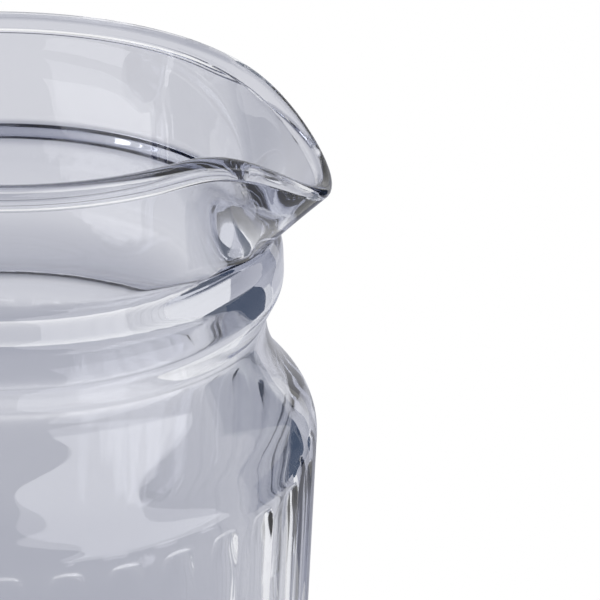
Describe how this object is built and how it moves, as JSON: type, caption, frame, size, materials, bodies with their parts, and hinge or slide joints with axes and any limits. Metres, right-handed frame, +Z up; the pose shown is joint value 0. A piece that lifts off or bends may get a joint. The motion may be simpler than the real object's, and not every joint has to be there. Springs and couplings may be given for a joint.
{
  "type": "fridge jug",
  "caption": "Clear glass fridge jug with a panelled straight body, a ringed neck, a pulled pouring spout and a glass bar handle.",
  "frame": {"origin": "on the axis of the jug, in the plane that it stands on", "axes": "+Z up along the axis of the jug, +X towards the spout, with the handle on -X"},
  "size_m": [0.1533, 0.1106, 0.225],
  "materials": {
    "clear_glass": "fire-polished"
  },
  "bodies": {
    "root": {"glass_body": "clear_glass", "handle": "clear_glass"}
  },
  "joints": []
}
